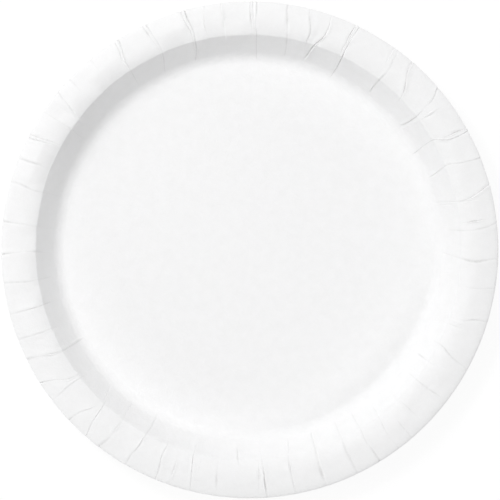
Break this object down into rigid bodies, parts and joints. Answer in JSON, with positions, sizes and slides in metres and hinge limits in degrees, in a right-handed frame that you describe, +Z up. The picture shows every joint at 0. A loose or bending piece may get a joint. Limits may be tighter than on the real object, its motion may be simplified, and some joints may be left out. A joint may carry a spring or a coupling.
{
  "type": "paper plate",
  "caption": "Round pressed paper plate: flat floor, bent-up wall and rolled-down brim, with fine pressed folds in wall and brim.",
  "frame": {"origin": "centre of the round outline, on the underside of the flat floor", "axes": "+Z up out of the dish; X and Y lie in the underside, with +X to the right and +Y to the top of the picture"},
  "size_m": [0.2288, 0.2286, 0.0181],
  "materials": {
    "board": "matt white pressed paperboard"
  },
  "bodies": {
    "root": {"plate": "board"}
  },
  "joints": []
}
